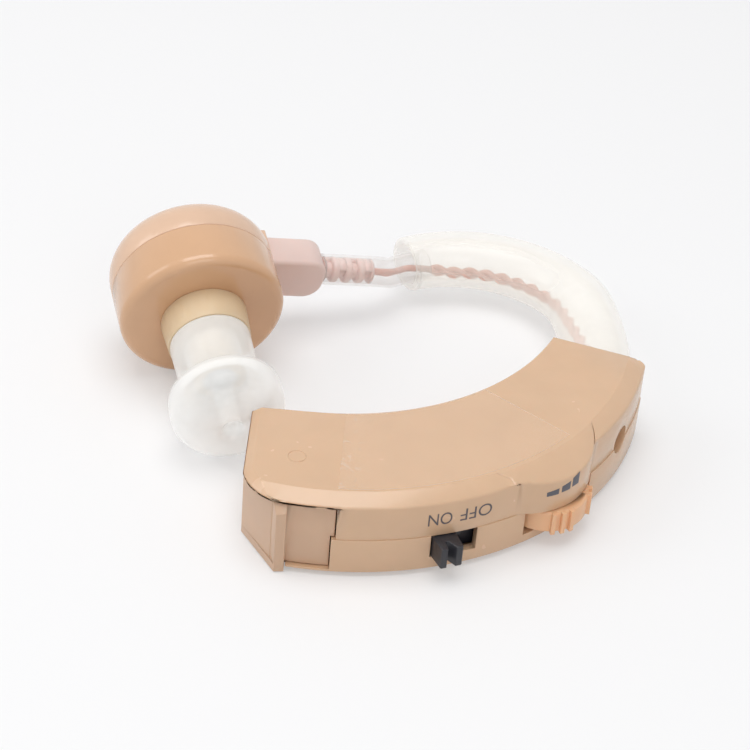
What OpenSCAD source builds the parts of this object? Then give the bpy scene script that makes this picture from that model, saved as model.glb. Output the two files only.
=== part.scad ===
// Behind the ear hearing aid with a separate button receiver.
// A crescent body lies on its flat side. It holds the button cell behind a swinging door, the
// microphone, the circuit board, a slide switch and a volume wheel. A soft hook leaves its narrow
// end and carries the lead to a plug, a round receiver and a clear ear tip.
// X runs along the body towards the hook, Y towards the hollow side that faces the ear, Z up.
// The origin is on the flat underside.

/* [Body] */
// radius of the hollow side
inner_r = 24.8; // [24.4:0.1:25.4]
// radius of the outer side
outer_r = 31.2; // [30.8:0.1:31.8]
// thickness of the side walls
wall_t = 0.75; // [0.65:0.05:0.85]
// thickness of the two flat sides
plate_t = 0.8; // [0.7:0.05:0.9]
// width of the sloped shoulder round the outer edge
shoulder_w = 1.8; // [1.2:0.1:2]
// drop of that shoulder
shoulder_drop = 0.58; // [0.4:0.02:0.7]
// radius of the rounded corner at the cell end
corner_r = 5.2; // [4.6:0.1:5.6]
// direction of the narrow end, seen from the centre of the hollow side, in degrees
end_turn = -20.6; // [-23:0.2:-19]
// width of the narrow end
end_w = 9.84; // [9.4:0.1:10.4]
// radius of the narrow end's outer corner
end_round = 1; // [0.8:0.1:1.3]
// how far the narrow end's face leans from square, in degrees
end_lean = 4.4; // [2:0.2:7]
// how far the lower shell stands proud of the upper one
shell_step = 0.08; // [0.04:0.02:0.12]

/* [Cell and door] */
// diameter of the button cell
cell_d = 11.6; // [11.4:0.1:11.7]
// height of the button cell
cell_h = 5.4; // [5.2:0.1:5.5]
// thickness of the door's end wall
door_end_t = 0.9; // [0.8:0.05:1.1]
// thickness of the door's outer wall beside the cell
door_side_t = 0.5; // [0.45:0.05:0.6]
// how far the door's outer wall lies back from the shells
door_recess = 0.35; // [0.3:0.05:0.45]
// thickness of the tray under the cell
tray_t = 0.5; // [0.4:0.05:0.6]
// diameter of the door's hinge pin
hinge_pin_d = 0.8; // [0.7:0.05:0.9]
// how far the door runs along the outer side past the middle of the cell
door_reach = 2.2; // [1.8:0.1:2.6]
// how much shorter the door is beside the lower shell
door_step = 0.4; // [0.3:0.05:0.5]
// width of the strip at the door's ridge
ridge_w = 0.95; // [0.8:0.05:1.2]

/* [Controls] */
// tip radius of the volume wheel, over its ribs
wheel_r = 4.6; // [4.4:0.05:4.7]
// height of the volume wheel
wheel_h = 2.5; // [2.3:0.05:2.6]
// height of the ribs on the volume wheel
rib_out = 0.35; // [0.25:0.05:0.45]
// radius of the swelling of the upper shell over the wheel
lobe_r = 7.35; // [7:0.05:7.6]
// how far that swelling stands out from the outer side
lobe_out = 1.5; // [1.3:0.05:1.6]
// width of the switch window
window_w = 4.7; // [4.5:0.1:5]
// width of the switch knob
knob_w = 2.4; // [2.2:0.05:2.8]
// how far the switch knob stands out of the outer side
knob_out = 2; // [1.6:0.1:2.2]
// diameter of the microphone hole
mic_hole_d = 2.9; // [2.6:0.1:3.1]

/* [Hook] */
// outer radius of the hook where it meets the body
hook_base_r = 3.6; // [3.4:0.05:3.8]
// outer radius of the hook at its mouth
hook_mouth_r = 2.95; // [2.9:0.05:3.2]
// wall of the hook
hook_wall = 0.75; // [0.6:0.05:0.8]
// radius of the long curve behind the body
hook_long_r = 38; // [36:0.5:40]
// radius of the tight curve at the top of the ear
hook_tight_r = 8.6; // [8:0.1:9.2]
// radius of the last curve
hook_last_r = 13.8; // [13.2:0.1:14.4]

/* [Lead] */
// diameter of the twisted lead
lead_d = 1; // [0.8:0.05:1.1]
// outer diameter of the clear sleeve over the strain relief
sleeve_d = 3.3; // [3.2:0.05:3.4]
// diameter of the strain relief
relief_d = 2.7; // [2.5:0.05:2.75]
// length of the strain relief
relief_l = 5.8; // [5.4:0.1:6.2]

/* [Receiver] */
// radius of the receiver
rec_r = 8.5; // [8.3:0.1:8.8]
// depth of the front cap
rec_front = 5.1; // [4.8:0.1:5.4]
// depth of the back cap
rec_back = 4.9; // [4.8:0.1:5.4]
// wall of both caps
rec_wall = 0.8; // [0.7:0.05:0.9]
// rounding of the front rim
rim_round = 1; // [0.8:0.05:1.1]
// rounding of the back rim
back_round = 3.4; // [2.4:0.1:3.6]
// length of the plug outside the receiver
plug_l = 6.8; // [6.4:0.1:8]
// height of the plug across its two pins
plug_h = 5.2; // [5:0.1:5.6]
// thickness of the plug
plug_t = 3.9; // [3.7:0.1:4]
// largest radius of the ear tip
tip_r = 5.75; // [5.5:0.05:6]
// radius of the ear tip's stem
tip_stem_r = 4.15; // [4.1:0.05:4.4]
// radius of the sound hole through the ear tip
sound_r = 1; // [0.9:0.05:1.1]

/* [Hidden] */
$fn = 48;
// overrun of cuts, larger than any piece, and a small one
far = 80;
over = 0.2;
// play between pieces that are slid together, and play of a shaft in its hole
fit_gap = 0.03;
run_gap = 0.05;
// play of the swinging door and of the cell in it
door_gap = 0.12;
cell_gap = 0.15;

// the cell end sets the body's width and height
cell_r = cell_d / 2;
tray_lift = 0.3;
head_room = 0.98;
body_w = wall_t + cell_gap + cell_d + cell_gap + door_side_t + door_recess;
body_h = plate_t + door_gap + tray_lift + tray_t + cell_h + head_room + plate_t;
parting_z = body_h / 2;
// places in plan: the hollow side's straight end, the body's left end, the two curves' centres
inner_y = 4.2;
left_x = -18.55;
ear_x = -12.3;
ear_y = inner_y + inner_r;
// the outer curve clears the cell by the door's wall and ends at the narrow end's outer corner
cell_x = left_x + door_end_t + cell_gap + cell_r;
cell_y = inner_y - wall_t - cell_gap - cell_r;
corner_w = inner_r + end_w;
end_corner = [ear_x + corner_w * cos(end_turn), ear_y + corner_w * sin(end_turn)];
span = end_corner - [cell_x, cell_y];
clear_r = outer_r - cell_r - cell_gap - door_side_t - door_recess;
along = (clear_r * clear_r - outer_r * outer_r + span * span) / (2 * norm(span));
aside = sqrt(clear_r * clear_r - along * along);
outer_x = cell_x + (along * span[0] - aside * span[1]) / norm(span);
outer_y = cell_y + (along * span[1] + aside * span[0]) / norm(span);
// the rounded corner crosses the outer curve and the end face by this much
corner_cross = 0.12;
corner_x = left_x + corner_r - corner_cross;
corner_reach = outer_r - corner_r + corner_cross;
corner_y = outer_y - sqrt(corner_reach * corner_reach - (corner_x - outer_x) * (corner_x - outer_x));
// the narrow end
end_share = 0.518;
end_r = inner_r + end_w * end_share;
end_x = ear_x + end_r * cos(end_turn);
end_y = ear_y + end_r * sin(end_turn);
end_face = end_turn + 90 + end_lean;
// the outer curve's centre in the end face's own axes, and the middle of the rounded corner
end_to_outer = [(outer_x - end_x) * cos(end_face) + (outer_y - end_y) * sin(end_face),
    (outer_y - end_y) * cos(end_face) - (outer_x - end_x) * sin(end_face)];
round_x = corner_cross - end_round;
round_reach = outer_r - end_round + corner_cross;
round_y = end_to_outer[1] - sqrt(round_reach * round_reach - (round_x - end_to_outer[0]) * (round_x - end_to_outer[0]));

// the door and its hinge
hinge_inset = 1.5;
barrel_r = 1.4;
hinge_x = left_x + hinge_inset;
hinge_y = inner_y - hinge_inset;
pin_r = hinge_pin_d / 2;
pin_seat = 0.4;
door_low = plate_t + door_gap;
door_high = body_h - plate_t - door_gap;
cell_low = door_low + tray_lift + tray_t;
cell_cap_r = 4.6;
cell_cap_h = 0.5;
door_x = cell_x + door_reach;
pocket_r = cell_r + cell_gap;
tray_r = cell_r - 0.4 * door_side_t;
tray_hole_r = 2.5;
facet_drop = 1.7;
ridge_in = 3.55;
ridge_out = 0.25;
ridge_slant = 0.9;
// the door's slanting facet reaches down past the lower shell's plate, which is cut back behind it
facet_t = 0.8;
foot_gap = 0.1;
ridge_x = left_x + ridge_in;
door_low_y = outer_y - outer_r;
facet_slope = (cell_y - facet_drop - door_low_y) / ridge_in;
// the circle that the cell's far edge sweeps as the door swings
sweep_r = norm([cell_x - hinge_x, cell_y - hinge_y]) + cell_r;

// the circuit board
board_lift = 0.55;
board_t = 0.7;
board_z = parting_z + board_lift;
board_top = board_z + board_t;
board_gap = 0.3;
board_clear = 0.5;
board_turn = -36;
leaf_t = 0.2;
leaf_gap = 0.12;
leaf_w = 2.4;
leaf_turn = 12;
positive_turn = -49;
chip = [3.2, 4.2, 1.3];
chip_turn = -66;
chip_share = 0.45;
capacitor = [1.6, 1.2, 1.1];
capacitor_turns = [-61, -57.5, -46.5];
capacitor_shares = [0.75, 0.72, 0.5];
can_r = 1.5;
can_h = 2;
can_turn = -53;
can_share = 0.38;
resistor = [1.2, 0.7, 0.5];
resistor_turns = [-61, -58.5, -41, -41];
resistor_shares = [0.3, 0.3, 0.25, 0.45];

// the two screws and their bosses
screw_turns = [-64.5, -46];
boss_r = 1.5;
boss_inset = 2.5;
screw_r = 0.5;
screw_head_r = 1.15;
screw_head_h = 0.7;
screw_sink = 0.15;
screw_bite = 2.6;
screw_slot = 0.3;

// the volume wheel
wheel_turn = -43.9;
wheel_inset = 2;
wheel_gap = 0.3;
wheel_top = parting_z - 0.4 * wheel_gap;
wheel_low = wheel_top - wheel_h;
axle_r = 0.8;
axle_head_r = 1.6;
axle_head_h = 0.5;
pot_r = 2.5;
pot_rivet = 0.3;
wiper_t = 0.07;
rib_w = 0.45;
rib_groups = 6;
rib_turn = -78.7;
rib_next_turn = 12.5;
rib_group_turn = 56.3;
wheel_chamfer = 0.2;
lobe_turn = -44.6;
blend_r = 4;
blend_cross = 0.02;
lobe_c = [outer_x, outer_y] + (outer_r + lobe_out - lobe_r) * [cos(lobe_turn), sin(lobe_turn)];
lobe_away = outer_r + lobe_out - lobe_r;
blend_away = outer_r + blend_r;
blend_turn = lobe_turn - acos((blend_away * blend_away + lobe_away * lobe_away - (lobe_r + blend_r) * (lobe_r + blend_r))
    / (2 * blend_away * lobe_away));
blend_c = [outer_x, outer_y] + blend_away * [cos(blend_turn), sin(blend_turn)];
// the lobe and its blend start this deep inside the body
blend_deep = 3 * wall_t;
blend_foot = [outer_x, outer_y] + (outer_r - blend_deep) * [cos(blend_turn), sin(blend_turn)];

// the slide switch
switch_turn = -66.6;
window_h = 2.55;
window_low = parting_z - window_h;
knob_gap = 0.12;
knob_h = window_h - 2 * knob_gap;
knob_shares = [[-0.1, 1], [0, 1], [0.95, 1], [1, 0.95], [1, 0.72], [0.45, 0.5],
    [0.45, 0.4], [1, 0.34], [1, 0.12], [0.95, 0.08], [0, 0]];
slider_low_share = 0.5;
slider_t = 0.3;
slider_h = 1.2;
slider_w = 3.4;
slider_set = 0.18;
switch_w = 7.2;
switch_depth = 3.2;
switch_low = 1.5;
terminal_r = 0.22;
terminal_pitch = 2;

// the microphone
mic_turn = -24.3;
mic_lift = 0.38;
mic_z = parting_z + mic_lift;
mic_r = 2.2;
mic_l = 2;
boot_r = 2.7;
boot_gap = 0.18;
boot_l = 3;
boot_front = 0.6;
boot_hole_r = 0.9;
mic_wire_r = 0.15;

// the nozzle that the hook sits on
nozzle_gap = 0.35;
nozzle_r = hook_base_r - hook_wall - nozzle_gap;
nozzle_out = 1.2;
nozzle_neck_r = 2;
nozzle_flange_r = 3;
nozzle_flange_t = 1.1;
nozzle_bore_r = 1.2;

// the clear film on the upper side
film_t = 0.08;
film_inset = 0.3;
film_turn = -49.8;
film_lean = 13.7;

// the hook's route: three curves, each going on from the last, as rows of x, y and heading
hook_turn = 86.3;
hook_turns = [19, 27, 78.4];
hook_steps = [4, 7, 16];
hook_radii = [hook_long_r, hook_tight_r, hook_last_r];
hook_sides = 20;
nozzle_hold = 4;

function curve_on(from, r, sweep, steps) = [for (k = [1 : steps])
    let (h = from[2] + sweep * k / steps)
    [from[0] + r * (sin(h) - sin(from[2])), from[1] - r * (cos(h) - cos(from[2])), h]];
function last(list) = list[len(list) - 1];
hook_foot = [end_x + fit_gap * cos(end_face), end_y + fit_gap * sin(end_face), hook_turn];
hook_a = curve_on(hook_foot, hook_radii[0], hook_turns[0], hook_steps[0]);
hook_b = curve_on(last(hook_a), hook_radii[1], hook_turns[1], hook_steps[1]);
hook_c = curve_on(last(hook_b), hook_radii[2], hook_turns[2], hook_steps[2]);
hook_run = concat([hook_foot], hook_a, hook_b, hook_c);
hook_n = len(hook_run) - 1;
// the first ring lies flat on the body's end face
function hook_heading(k) = k == 0 ? end_face : hook_run[k][2];
function hook_r(k) = hook_base_r + (hook_mouth_r - hook_base_r) * k / hook_n;

// the receiver rests on its front rim and on the ear tip
rec_from_hook = [20.24, 17.79];
rec_x = last(hook_run)[0] - rec_from_hook[0];
rec_y = last(hook_run)[1] - rec_from_hook[1];
rec_turn = -72;
front_z = 0.5;
seam_z = front_z - rec_front;
back_z = seam_z - rec_back;
tip_rest_z = 12.9;
rest_a = rec_r - rim_round - tip_r;
rest_b = tip_rest_z - front_z + rim_round;
rest_tilt = acos(-rim_round / norm([rest_a, rest_b])) - atan2(rest_b, rest_a);
rec_z = (rec_r - rim_round) * cos(rest_tilt) + (front_z - rim_round) * sin(rest_tilt) + rim_round;
rec_c = [rec_x, rec_y, rec_z];
rec_dir = [cos(rest_tilt) * cos(rec_turn), cos(rest_tilt) * sin(rec_turn), -sin(rest_tilt)];
rec_side = [-sin(rec_turn), cos(rec_turn), 0];
rec_up = [sin(rest_tilt) * cos(rec_turn), sin(rest_tilt) * sin(rec_turn), cos(rest_tilt)];
spigot_h = 1.2;
spigot_t = 0.6;
ring_h = 1.7;
ring_t = 0.85;
film_disc_t = 0.12;
magnet_r = 3.9;
magnet_h = 1.45;
pole_r = 1.2;
pole_h = 4.5;
coil_r = 3.5;
coil_h = 3.9;

// the plug and its two pins
plug_turn = 11.5;
plug_z = -7.5;
plug_in = 7.9;
plug_out = plug_in + plug_l;
plug_round = 2;
pin_pitch = 2.7;
pin_rs = [0.45, 0.55];
pin_l = 3;
pin_root = 2.4;
relief_core = 0.3;
relief_slots = 4;
relief_slot_share = 0.47;
relief_ease = 0.15;
socket_t = 0.35;
plug_dir = cos(plug_turn) * rec_side - sin(plug_turn) * rec_up;

// the receiver's nozzle and the ear tip on it
stud_r = 4.46;
stud_end_r = 4.25;
stud_h = 3.3;
stem_r = 2.4;
stem_l = 5.2;
bead_r = 2.75;
bead_l = 0.8;
spigot_r = 2.1;
mesh_r = 1.7;
mesh_t = 0.15;
mesh_sink = 0.35;
tip_gap = 0.08;
tip_socket_l = 5.4;
tip_edge = 0.6;
tip_back = 1.4;
tip_nose = 2.6;
tip_nose_r = 1.9;
tip_steps = 6;

// the lead's route: out of the plug, over to the hook's mouth, along the hook's inner side,
// through the nozzle and down to the board
lead_r = lead_d / 2;
lead_in = 2;
lead_side = 1.7;
lead_sink = 0.6;
lead_mouth = 0.4;
lead_sides = 8;
sleeve_run = 2.4;
bridge_pull = 3.2;
pad_turn = -38.5;
pad_inset = 2.6;
plug_c = rec_c + plug_z * rec_dir;
plug_tip = plug_c + plug_out * plug_dir;
relief_end = plug_tip + relief_l * plug_dir;
pad = [ear_x + (inner_r + pad_inset) * cos(pad_turn), ear_y + (inner_r + pad_inset) * sin(pad_turn)];
// share of the sideways set of the lead at hook ring k
function lead_share(k) = min(1, k / nozzle_hold, 0.3 + (hook_n - k) / 6);
function lead_at(k) = let (h = hook_run[k][2], s = lead_side * lead_share(k))
    [hook_run[k][0] - s * sin(h), hook_run[k][1] + s * cos(h), parting_z - lead_sink * lead_share(k)];
mouth = lead_at(hook_n);
mouth_dir = [-cos(hook_run[hook_n][2]), -sin(hook_run[hook_n][2]), 0];
function bridge(t) = pow(1 - t, 3) * relief_end + 3 * t * pow(1 - t, 2) * (relief_end + bridge_pull * plug_dir)
    + 3 * t * t * (1 - t) * (mouth - bridge_pull * mouth_dir) + t * t * t * mouth;
end_out = [cos(end_face), sin(end_face), 0];
end_c = [end_x, end_y, parting_z];
pad_end = [pad[0], pad[1], board_top + fit_gap + lead_r];
lead_route = concat(
    [plug_tip - lead_in * plug_dir, plug_tip, plug_tip + relief_l / 2 * plug_dir],
    [for (k = [0 : 3]) bridge(k / 3)],
    [for (k = [hook_n - 3 : -3 : nozzle_hold]) lead_at(k)],
    [lead_at(2), end_c + nozzle_out * end_out, end_c - (wall_t + nozzle_flange_t) * end_out],
    [end_c - (wall_t + 2 * nozzle_flange_t) * end_out + [0, 0, lead_r], pad_end + [0.5, 0.8, 0] * pad_inset, pad_end]);
sleeve_route = concat(
    [plug_tip + fit_gap * plug_dir, plug_tip + relief_l / 2 * plug_dir],
    [for (k = [0 : 4]) bridge(k / 4)],
    [mouth + sleeve_run * mouth_dir]);

// Shared shapes

// a place at a radius and direction from the centre of the hollow side, X pointing outwards
module at_ear(turn, r) {
    translate([ear_x + r * cos(turn), ear_y + r * sin(turn), 0]) rotate([0, 0, turn]) children();
}

// a place on the outer curve, X pointing out of the body
module on_outer(turn, r = outer_r) {
    translate([outer_x + r * cos(turn), outer_y + r * sin(turn), 0]) rotate([0, 0, turn]) children();
}

// the middle of the narrow end's face, X pointing out of the body
module at_end() {
    translate(end_c) rotate([0, 0, end_face]) children();
}

// the receiver's own axes: Z out of its front, and the plug's: X along the plug
module at_receiver() {
    translate(rec_c) rotate([0, 90 + rest_tilt, rec_turn]) children();
}
module at_plug() {
    at_receiver() translate([0, 0, plug_z]) rotate([0, 0, 90 - plug_turn]) children();
}

// a cylinder along X
module rod(r, from, to) {
    translate([from, 0, 0]) rotate([0, 90, 0]) cylinder(r = r, h = to - from);
}

// a disc between two heights whose edge slopes off above and below
module rim_disc(r, low, high, w, drop) {
    if (drop > 0)
        rotate_extrude($fn = 180) polygon([[0, low], [r - w, low], [r, low + drop], [r, high - drop], [r - w, high], [0, high]]);
    else
        translate([0, 0, low]) cylinder(r = r, h = high - low, $fn = 180);
}

// the crescent, with every wall moved inwards by inset
module crescent(inset, low, high, shoulders) {
    w = shoulders * shoulder_w;
    drop = shoulders * shoulder_drop;
    left = left_x + inset;
    difference() {
        intersection() {
            translate([outer_x, outer_y, 0]) rim_disc(outer_r - inset, low, high, w, drop);
            translate([0, far, 0]) rotate([90, 0, 0]) linear_extrude(2 * far)
                polygon([[left, low + drop], [left, high - drop], [left + w / 2, high], [far, high], [far, low], [left + w / 2, low]]);
            union() {
                translate([corner_x, -far, low]) cube([2 * far, 2 * far, high - low]);
                translate([-far, corner_y, low]) cube([2 * far, 2 * far, high - low]);
                translate([corner_x, corner_y, 0]) rim_disc(corner_r - inset, low, high, w / 2, drop);
            }
            translate([end_x, end_y, 0]) rotate([0, 0, end_face]) union() {
                translate([-far - max(inset, 0), round_y, low]) cube([far, far, high - low]);
                translate([-far + round_x, -far, low]) cube([far, 2 * far, high - low]);
                translate([round_x, round_y, low]) cylinder(r = end_round - max(inset, 0), h = high - low);
            }
        }
        translate([ear_x, ear_y, low - over]) cylinder(r = inner_r + inset, h = high - low + 2 * over, $fn = 180);
        translate([-2 * far + ear_x, inner_y - inset, low - over]) cube([2 * far, 2 * far, high - low + 2 * over]);
    }
}

// the swelling over the volume wheel
module lobe(inset, low, high, shoulders) {
    w = shoulders * (shoulder_w + lobe_out);
    intersection() {
        translate([outer_x, outer_y, 0]) rim_disc(outer_r + lobe_out + over, low, high, w, w * shoulder_drop / shoulder_w);
        translate([0, 0, low]) linear_extrude(high - low) {
            difference() {
                translate(lobe_c) circle(r = lobe_r - inset, $fn = 180);
                translate([outer_x, outer_y]) circle(r = outer_r - blend_deep, $fn = 180);
            }
            // the hollow blend on the switch's side
            difference() {
                polygon([blend_foot, blend_c, lobe_c]);
                translate(blend_c) circle(r = blend_r + inset + blend_cross, $fn = 96);
            }
        }
    }
}

module above(z) { translate([-far, -far, z]) cube(2 * far); }
module below(z) { translate([-far, -far, z - 2 * far]) cube(2 * far); }

// the room that the door and its barrel take out of both shells' walls
module door_room(shorter = 0) {
    room_h = body_h - 2 * plate_t;
    edge = hinge_x + barrel_r + door_gap;
    translate([edge - far, -far, plate_t]) cube([far, 2 * far, room_h]);
    translate([door_x - shorter + door_gap - far, hinge_y - barrel_r - far, plate_t]) cube([far, far, room_h]);
}

// the line in plan that runs behind the door's facet, set back from it
function behind_facet(back) = let (set = back * sqrt(1 + facet_slope * facet_slope)) [
    [left_x, cell_y - facet_drop + set], [ridge_x + (set - back) / facet_slope, door_low_y + back]];
module facet_foot() {
    polygon(concat([[left_x, cell_y - facet_drop], [ridge_x, door_low_y - ridge_out],
        [ridge_x + ridge_w, door_low_y - ridge_out / 2], [ridge_x + ridge_w, door_low_y + facet_t]],
        [behind_facet(facet_t)[1], behind_facet(facet_t)[0]]));
}
module facet_room() {
    line = behind_facet(facet_t + door_gap);
    edge = ridge_x + ridge_w + door_gap;
    polygon([line[0], line[1], [edge, line[1][1]], [edge, -far], [-far, -far], [-far, line[0][1]]]);
}

module volume_wheel_place() { on_outer(wheel_turn, outer_r - wheel_inset) children(); }

// points of a ring round a route's point, square to the heading given
function ring_at(c, heading, r, sides) = let (f = heading / norm(heading),
    u = cross([0, 0, 1], f) / norm(cross([0, 0, 1], f)), v = cross(f, u))
    [for (s = [0 : sides - 1]) c + r * (cos(360 * s / sides) * u + sin(360 * s / sides) * v)];
// heading at each point of a route
function heading_at(p, k) = k == 0 ? p[1] - p[0] : k == len(p) - 1 ? p[k] - p[k - 1] : p[k + 1] - p[k - 1];
// a closed skin over rings that all have the same number of points
module skin(rings) {
    n = len(rings);
    m = len(rings[0]);
    polyhedron(points = [for (ring = rings) each ring], faces = concat(
        [[for (s = [0 : m - 1]) s]],
        [for (k = [0 : n - 2], s = [0 : m - 1])
            let (t = (s + 1) % m) [k * m + s, (k + 1) * m + s, (k + 1) * m + t]],
        [for (k = [0 : n - 2], s = [0 : m - 1])
            let (t = (s + 1) % m) [k * m + s, (k + 1) * m + t, k * m + t]],
        [[for (s = [m - 1 : -1 : 0]) (n - 1) * m + s]]));
}
module hose(route, r, sides) {
    skin([for (k = [0 : len(route) - 1]) ring_at(route[k], heading_at(route, k), r, sides)]);
}

// Body

module upper_shell() {
    color("#e2c2a0") difference() {
        union() {
            difference() {
                intersection() {
                    union() {
                        crescent(0, 0, body_h, 1);
                        lobe(0, 0, body_h, 1);
                    }
                    above(parting_z);
                }
                crescent(wall_t, plate_t, body_h - plate_t, 0);
                lobe(wall_t, plate_t, body_h - plate_t - shoulder_drop, 0);
                door_room();
            }
            for (turn = screw_turns) at_ear(turn, inner_r + boss_inset)
                translate([0, 0, parting_z]) cylinder(r = boss_r, h = body_h - plate_t / 2 - parting_z);
        }
        for (turn = screw_turns) at_ear(turn, inner_r + boss_inset)
            translate([0, 0, parting_z - over]) cylinder(r = screw_r + fit_gap, h = screw_bite + 2 * over);
        on_outer(mic_turn) translate([0, 0, mic_z]) rod(mic_hole_d / 2, -2 * wall_t, wall_t);
        at_end() rod(nozzle_neck_r + fit_gap, -2 * wall_t, wall_t);
        translate([hinge_x, hinge_y, body_h - plate_t - over]) cylinder(r = pin_r + fit_gap, h = pin_seat + over);
    }
}

module lower_shell() {
    color("#e0bd9a") difference() {
        union() {
            difference() {
                intersection() {
                    crescent(-shell_step, 0, body_h, 1);
                    below(parting_z);
                }
                crescent(wall_t, plate_t, body_h - plate_t, 0);
                door_room(door_step);
            }
            for (turn = screw_turns) at_ear(turn, inner_r + boss_inset)
                translate([0, 0, plate_t / 2]) cylinder(r = boss_r, h = parting_z - plate_t / 2 - fit_gap);
        }
        translate([0, 0, -over]) linear_extrude(plate_t + 2 * over) facet_room();
        for (turn = screw_turns) at_ear(turn, inner_r + boss_inset) {
            translate([0, 0, -over]) cylinder(r = screw_head_r + run_gap, h = screw_sink + screw_head_h + over);
            cylinder(r = screw_r + 2 * run_gap, h = parting_z + over);
        }
        on_outer(switch_turn) translate([-2 * wall_t, -window_w / 2, window_low])
            cube([4 * wall_t, window_w, window_h + over]);
        volume_wheel_place() translate([0, 0, wheel_low - wheel_gap])
            cylinder(r = wheel_r + wheel_gap, h = wheel_h + 2 * wheel_gap);
        on_outer(mic_turn) translate([0, 0, mic_z]) rod(mic_hole_d / 2, -2 * wall_t, wall_t);
        at_end() rod(nozzle_neck_r + fit_gap, -2 * wall_t, wall_t);
        translate([hinge_x, hinge_y, plate_t - pin_seat]) cylinder(r = pin_r + fit_gap, h = pin_seat + over);
    }
}

module shell_screws() {
    color("#b9bcc0") for (turn = screw_turns) at_ear(turn, inner_r + boss_inset) translate([0, 0, screw_sink])
        difference() {
            union() {
                cylinder(r = screw_head_r, h = screw_head_h);
                cylinder(r = screw_r, h = parting_z + screw_bite - screw_sink);
            }
            translate([-screw_head_r, -screw_slot / 2, -over]) cube([2 * screw_head_r, screw_slot, over + screw_head_h / 2]);
            translate([-screw_slot / 2, -screw_head_r, -over]) cube([screw_slot, 2 * screw_head_r, over + screw_head_h / 2]);
        }
}

module clear_film() {
    color("#efe3d3") translate([0, 0, body_h]) intersection() {
        difference() {
            translate([outer_x, outer_y, 0]) cylinder(r = outer_r - shoulder_w - film_inset, h = film_t, $fn = 180);
            translate([ear_x, ear_y, -over]) cylinder(r = inner_r + film_inset, h = film_t + 2 * over, $fn = 180);
            translate([-2 * far + ear_x, inner_y - film_inset, -over]) cube([2 * far, 2 * far, film_t + 2 * over]);
        }
        translate([door_x, -far, -over]) cube([2 * far, 2 * far, film_t + 2 * over]);
        at_ear(film_turn, inner_r) rotate([0, 0, film_lean]) translate([-far, -2 * far, -over]) cube([2 * far, 2 * far, film_t + 2 * over]);
    }
}

// Cell end

module battery_door() {
    low_y = door_low_y;
    side_r = outer_r - door_recess;
    color("#ddb594") difference() {
        union() {
            intersection() {
                translate([outer_x, outer_y, door_low]) cylinder(r = side_r, h = door_high - door_low, $fn = 180);
                translate([0, 0, door_low]) linear_extrude(door_high - door_low)
                    polygon([[left_x, hinge_y], [left_x, cell_y - facet_drop], [ridge_x, low_y], [door_x, low_y - door_side_t],
                        [door_x, cell_y], [cell_x, hinge_y - barrel_r], [hinge_x, hinge_y]]);
            }
            difference() {
                translate([0, 0, door_low]) linear_extrude(door_high - door_low)
                    polygon([[ridge_x, low_y - ridge_out], [ridge_x + ridge_w, low_y - ridge_out / 2],
                        [ridge_x + ridge_w, low_y + 2 * facet_t], [ridge_x - facet_t, low_y + 2 * facet_t]]);
                translate([ridge_x - facet_t, 0, door_high]) rotate([90, 0, 90]) linear_extrude(facet_t + 2 * ridge_w)
                    polygon([[low_y + 2 * ridge_out, 0], [low_y - ridge_out, -ridge_slant], [low_y - facet_t, -2 * ridge_slant],
                        [low_y - facet_t, over], [low_y + 2 * ridge_out, over]]);
            }
            translate([0, 0, foot_gap]) linear_extrude(door_low) facet_foot();
            translate([hinge_x, hinge_y, door_low]) cylinder(r = barrel_r, h = door_high - door_low);
            translate([cell_x, cell_y, door_low + tray_lift]) cylinder(r = tray_r, h = tray_t);
        }
        difference() {
            translate([door_x - door_step, cell_y - far, 0]) cube([far, far, parting_z + door_gap]);
            translate([cell_x, cell_y, 0]) cylinder(r = tray_r, h = body_h);
        }
        translate([cell_x, cell_y, cell_low]) cylinder(r = pocket_r, h = body_h, $fn = 96);
        translate([cell_x, cell_y, door_low - over]) cylinder(r = pocket_r - door_side_t, h = tray_lift + over, $fn = 96);
        translate([cell_x, cell_y, door_low]) cylinder(r = tray_hole_r, h = body_h);
        translate([hinge_x, hinge_y, 0]) cylinder(r = pin_r + run_gap, h = body_h);
    }
}

module door_hinge_pin() {
    color("#b9bcc0") translate([hinge_x, hinge_y, plate_t - pin_seat + fit_gap])
        cylinder(r = pin_r, h = body_h - 2 * (plate_t - pin_seat + fit_gap));
}

module button_cell() {
    color("#c9ccd0") translate([cell_x, cell_y, cell_low]) {
        cylinder(r = cell_r, h = cell_h - cell_cap_h, $fn = 96);
        cylinder(r = cell_cap_r, h = cell_h);
    }
}

// a leaf over the cell, standing on the board
module contact_negative() {
    leaf_z = cell_low + cell_h + leaf_gap;
    leg_x = hinge_x + sweep_r + board_clear + leaf_t;
    color("#d9b45c") {
        translate([cell_x, cell_y - leaf_w / 2, leaf_z]) cube([leg_x + leaf_t - cell_x, leaf_w, leaf_t]);
        translate([leg_x, cell_y - leaf_w / 2, board_top]) cube([leaf_t, leaf_w, leaf_z + leaf_t - board_top]);
        translate([leg_x, cell_y - leaf_w / 2, board_top]) cube([leaf_w / 2, leaf_w, leaf_t]);
    }
}

// a leaf against the side of the cell, hanging from the board
module contact_positive() {
    leaf_r = sweep_r + leaf_gap;
    color("#d9b45c") translate([hinge_x, hinge_y, 0]) rotate([0, 0, positive_turn]) {
        translate([0, 0, cell_low + leaf_w / 2]) rotate_extrude(angle = leaf_turn)
            translate([leaf_r, 0]) square([leaf_t, board_z - cell_low - leaf_w / 2]);
        translate([0, 0, board_z - leaf_t]) rotate_extrude(angle = leaf_turn)
            translate([leaf_r, 0]) square([leaf_w / 2, leaf_t]);
    }
}

// Electronics

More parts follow.
